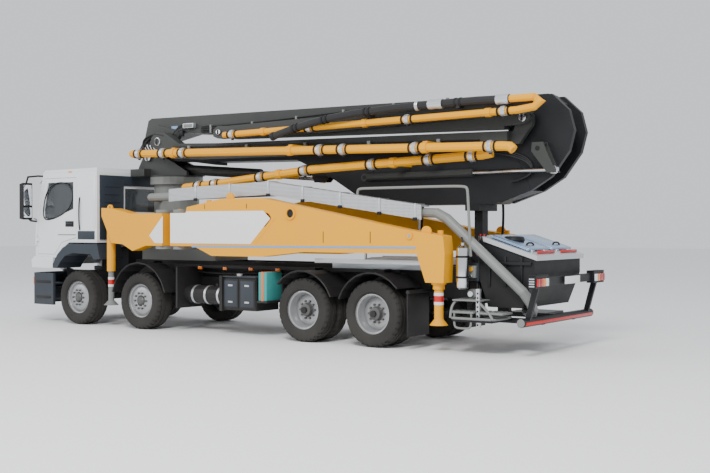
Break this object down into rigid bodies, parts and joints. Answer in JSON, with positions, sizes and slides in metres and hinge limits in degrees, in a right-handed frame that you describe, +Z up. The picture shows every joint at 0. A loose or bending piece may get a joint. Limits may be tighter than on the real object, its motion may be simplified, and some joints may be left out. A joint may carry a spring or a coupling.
{
  "type": "truck-mounted concrete pump",
  "caption": "Four-axle truck with a tilting cab, swing-out outriggers, a rear hopper and a folded delivery boom with its pipe and end hose.",
  "frame": {"origin": "on the ground under the middle of the truck's bounding box", "axes": "+X forward, +Y to the truck's left, +Z up"},
  "size_m": [11.14, 3, 3.94],
  "materials": {
    "white_paint": "gloss white paint",
    "yellow_paint": "gloss yellow paint",
    "boom_grey": "satin warm grey paint",
    "dark_grey": "satin dark grey paint",
    "slate": "grained slate-grey plastic",
    "chassis_black": "matt black chassis paint",
    "light_grey": "light grey paint",
    "aluminium": "bare and perforated aluminium sheet",
    "tyre": "black tyre on a silver painted rim",
    "hose_rubber": "black ribbed rubber",
    "chrome": "hard chromed rod",
    "fabric": "dark woven seat cloth"
  },
  "bodies": {
    "chassis": {"chassis_frame": "chassis_black", "engine_block": "dark_grey", "front_axle_1": "chassis_black", "front_axle_2": "chassis_black", "rear_bogie": "chassis_black", "front_bumper": "slate", "pedestal": "light_grey", "side_frame_left": "chassis_black", "side_frame_right": "chassis_black", "walkway_left": "aluminium", "walkway_right": "aluminium", "rear_guard": "dark_grey", "hopper": "chassis_black", "delivery_pipe": "light_grey", "pipe_cover": "aluminium"},
    "cab": {"cab_shell": "white_paint", "cab_interior": "fabric", "wheel_arch_left": "slate", "wheel_arch_right": "slate", "mirror_left": "chassis_black", "mirror_right": "chassis_black"},
    "turret": {"turret": "boom_grey"},
    "boom_a": {"boom_section_a": "dark_grey", "pipe_a": "yellow_paint"},
    "boom_b": {"boom_section_b": "boom_grey"},
    "boom_c": {"boom_section_c": "boom_grey", "pipe_c": "yellow_paint"},
    "boom_d": {"boom_section_d": "boom_grey"},
    "boom_e": {"boom_section_e": "boom_grey", "pipe_e": "yellow_paint", "end_hose": "hose_rubber"},
    "lift_barrel": {"lift_cylinder_barrel": "boom_grey"},
    "lift_rod": {"lift_cylinder_rod": "chrome"},
    "fold_barrel": {"fold_cylinder_barrel": "boom_grey"},
    "fold_rod": {"fold_cylinder_rod": "chrome"},
    "rocker": {"fold_rocker": "boom_grey"},
    "lid": {"hopper_lid": "aluminium"},
    "door_left_body": {"door_left": "white_paint"},
    "knuckle_1_left_body": {"knuckle_1_left": "chassis_black"},
    "wheel_1_left_body": {"wheel_1_left": "tyre"},
    "knuckle_2_left_body": {"knuckle_2_left": "chassis_black"},
    "wheel_2_left_body": {"wheel_2_left": "tyre"},
    "twin_3_left_body": {"twin_wheel_3_left": "tyre"},
    "twin_4_left_body": {"twin_wheel_4_left": "tyre"},
    "front_arm_left_body": {"front_arm_left": "yellow_paint"},
    "rear_arm_left_body": {"rear_arm_left": "yellow_paint"},
    "front_jack_left_body": {"front_jack_left": "light_grey"},
    "rear_jack_left_body": {"rear_jack_left": "yellow_paint"},
    "door_right_body": {"door_right": "white_paint"},
    "knuckle_1_right_body": {"knuckle_1_right": "chassis_black"},
    "wheel_1_right_body": {"wheel_1_right": "tyre"},
    "knuckle_2_right_body": {"knuckle_2_right": "chassis_black"},
    "wheel_2_right_body": {"wheel_2_right": "tyre"},
    "twin_3_right_body": {"twin_wheel_3_right": "tyre"},
    "twin_4_right_body": {"twin_wheel_4_right": "tyre"},
    "front_arm_right_body": {"front_arm_right": "yellow_paint"},
    "rear_arm_right_body": {"rear_arm_right": "yellow_paint"},
    "front_jack_right_body": {"front_jack_right": "light_grey"},
    "rear_jack_right_body": {"rear_jack_right": "yellow_paint"}
  },
  "joints": [
    {"name": "cab_tilt", "type": "hinge", "parent": "chassis", "child": "cab", "pos_m": [5.46, 0, 1.02], "axis": [0, 1, 0], "range_deg": [0, 60]},
    {"name": "door_left_swing", "type": "hinge", "parent": "cab", "child": "door_left_body", "pos_m": [5.385, 1.172, 1.6], "axis": [0, 0, -1], "range_deg": [0, 65]},
    {"name": "door_right_swing", "type": "hinge", "parent": "cab", "child": "door_right_body", "pos_m": [5.385, -1.172, 1.6], "axis": [0, 0, 1], "range_deg": [0, 65]},
    {"name": "steer_1_left", "type": "hinge", "parent": "chassis", "child": "knuckle_1_left_body", "pos_m": [4.13, 0.72, 0.5136], "axis": [0, 0, 1], "range_deg": [-35, 35]},
    {"name": "steer_1_right", "type": "hinge", "parent": "chassis", "child": "knuckle_1_right_body", "pos_m": [4.13, -0.72, 0.5136], "axis": [0, 0, 1], "range_deg": [-35, 35]},
    {"name": "steer_2_left", "type": "hinge", "parent": "chassis", "child": "knuckle_2_left_body", "pos_m": [2.43, 0.72, 0.5136], "axis": [0, 0, 1], "range_deg": [-25, 25]},
    {"name": "steer_2_right", "type": "hinge", "parent": "chassis", "child": "knuckle_2_right_body", "pos_m": [2.43, -0.72, 0.5136], "axis": [0, 0, 1], "range_deg": [-25, 25]},
    {"name": "roll_1_left", "type": "hinge", "parent": "knuckle_1_left_body", "child": "wheel_1_left_body", "pos_m": [4.13, 1.0275, 0.5136], "axis": [0, 1, 0], "continuous": true},
    {"name": "roll_1_right", "type": "hinge", "parent": "knuckle_1_right_body", "child": "wheel_1_right_body", "pos_m": [4.13, -1.0275, 0.5136], "axis": [0, 1, 0], "continuous": true},
    {"name": "roll_2_left", "type": "hinge", "parent": "knuckle_2_left_body", "child": "wheel_2_left_body", "pos_m": [2.43, 1.0275, 0.5136], "axis": [0, 1, 0], "continuous": true},
    {"name": "roll_2_right", "type": "hinge", "parent": "knuckle_2_right_body", "child": "wheel_2_right_body", "pos_m": [2.43, -1.0275, 0.5136], "axis": [0, 1, 0], "continuous": true},
    {"name": "roll_3_left", "type": "hinge", "parent": "chassis", "child": "twin_3_left_body", "pos_m": [-1.32, 0.9, 0.5136], "axis": [0, 1, 0], "continuous": true},
    {"name": "roll_3_right", "type": "hinge", "parent": "chassis", "child": "twin_3_right_body", "pos_m": [-1.32, -0.9, 0.5136], "axis": [0, 1, 0], "continuous": true},
    {"name": "roll_4_left", "type": "hinge", "parent": "chassis", "child": "twin_4_left_body", "pos_m": [-2.67, 0.9, 0.5136], "axis": [0, 1, 0], "continuous": true},
    {"name": "roll_4_right", "type": "hinge", "parent": "chassis", "child": "twin_4_right_body", "pos_m": [-2.67, -0.9, 0.5136], "axis": [0, 1, 0], "continuous": true},
    {"name": "front_arm_left_swing", "type": "hinge", "parent": "chassis", "child": "front_arm_left_body", "pos_m": [1.93, 1.1, 1.8], "axis": [0, 0, 1], "range_deg": [0, 60]},
    {"name": "rear_arm_left_swing", "type": "hinge", "parent": "chassis", "child": "rear_arm_left_body", "pos_m": [1.49, 1.1, 1.8], "axis": [0, 0, -1], "range_deg": [0, 75]},
    {"name": "front_jack_left_slide", "type": "slide", "parent": "front_arm_left_body", "child": "front_jack_left_body", "axis": [0, 0, -1], "range_m": [0, 0.45]},
    {"name": "rear_jack_left_slide", "type": "slide", "parent": "rear_arm_left_body", "child": "rear_jack_left_body", "axis": [0, 0, -1], "range_m": [0, 0.45]},
    {"name": "front_arm_right_swing", "type": "hinge", "parent": "chassis", "child": "front_arm_right_body", "pos_m": [1.93, -1.1, 1.8], "axis": [0, 0, -1], "range_deg": [0, 60]},
    {"name": "rear_arm_right_swing", "type": "hinge", "parent": "chassis", "child": "rear_arm_right_body", "pos_m": [1.49, -1.1, 1.8], "axis": [0, 0, 1], "range_deg": [0, 75]},
    {"name": "front_jack_right_slide", "type": "slide", "parent": "front_arm_right_body", "child": "front_jack_right_body", "axis": [0, 0, -1], "range_m": [0, 0.45]},
    {"name": "rear_jack_right_slide", "type": "slide", "parent": "rear_arm_right_body", "child": "rear_jack_right_body", "axis": [0, 0, -1], "range_m": [0, 0.45]},
    {"name": "lid_open", "type": "hinge", "parent": "chassis", "child": "lid", "pos_m": [-4.36, 0, 1.7], "axis": [0, 1, 0], "range_deg": [0, 60]},
    {"name": "boom_slew", "type": "hinge", "parent": "chassis", "child": "turret", "pos_m": [2.68, 0, 2.8], "axis": [0, 0, 1], "range_deg": [0, 370]},
    {"name": "boom_raise", "type": "hinge", "parent": "turret", "child": "boom_a", "pos_m": [3.18, 0, 3.2], "axis": [0, 1, 0], "range_deg": [0, 85]},
    {"name": "fold_b", "type": "hinge", "parent": "boom_a", "child": "boom_b", "pos_m": [-5.09, 0, 3.45], "axis": [0, -1, 0], "range_deg": [0, 180]},
    {"name": "fold_c", "type": "hinge", "parent": "boom_b", "child": "boom_c", "pos_m": [2.68, 0.405, 3.46], "axis": [0, 1, 0], "range_deg": [0, 180]},
    {"name": "fold_d", "type": "hinge", "parent": "boom_c", "child": "boom_d", "pos_m": [-4.87, 0.405, 3.45], "axis": [0, -1, 0], "range_deg": [0, 180]},
    {"name": "fold_e", "type": "hinge", "parent": "boom_d", "child": "boom_e", "pos_m": [0.93, 0.6, 3.53], "axis": [0, 1, 0], "range_deg": [0, 180]},
    {"name": "lift_barrel_turn", "type": "hinge", "parent": "turret", "child": "lift_barrel", "pos_m": [2.83, 0, 2.98], "axis": [0, 1, 0], "range_deg": [0, 89.46]},
    {"name": "lift_rod_slide", "type": "slide", "parent": "lift_barrel", "child": "lift_rod", "axis": [-0.9971, 0, -0.0765], "range_m": [0, 0.492]},
    {"name": "rocker_turn", "type": "hinge", "parent": "boom_a", "child": "rocker", "pos_m": [-5.07, 0.34, 3], "axis": [0, 1, 0], "range_deg": [0, 46]},
    {"name": "fold_barrel_turn", "type": "hinge", "parent": "boom_a", "child": "fold_barrel", "pos_m": [-1.97, 0.34, 2.66], "axis": [0, 1, 0], "range_deg": [-1, 4.82]},
    {"name": "fold_rod_slide", "type": "slide", "parent": "fold_barrel", "child": "fold_rod", "axis": [-1, 0, 0.009], "range_m": [0, 0.188]}
  ],
  "couplings": [
    {"joint": "steer_1_right", "follows": "steer_1_left", "ratio": 1},
    {"joint": "steer_2_left", "follows": "steer_1_left", "ratio": 0.7},
    {"joint": "steer_2_right", "follows": "steer_1_left", "ratio": 0.7},
    {"joint": "boom_slew", "follows": "boom_raise", "ratio": 4.3529},
    {"joint": "lift_barrel_turn", "follows": "boom_raise", "ratio": 1.0407},
    {"joint": "lift_rod_slide", "follows": "boom_raise", "m_per_rad": 0.3251},
    {"joint": "rocker_turn", "follows": "fold_b", "ratio": 0.25},
    {"joint": "fold_barrel_turn", "follows": "fold_b", "ratio": 0.0212},
    {"joint": "fold_rod_slide", "follows": "fold_b", "m_per_rad": 0.0566}
  ]
}
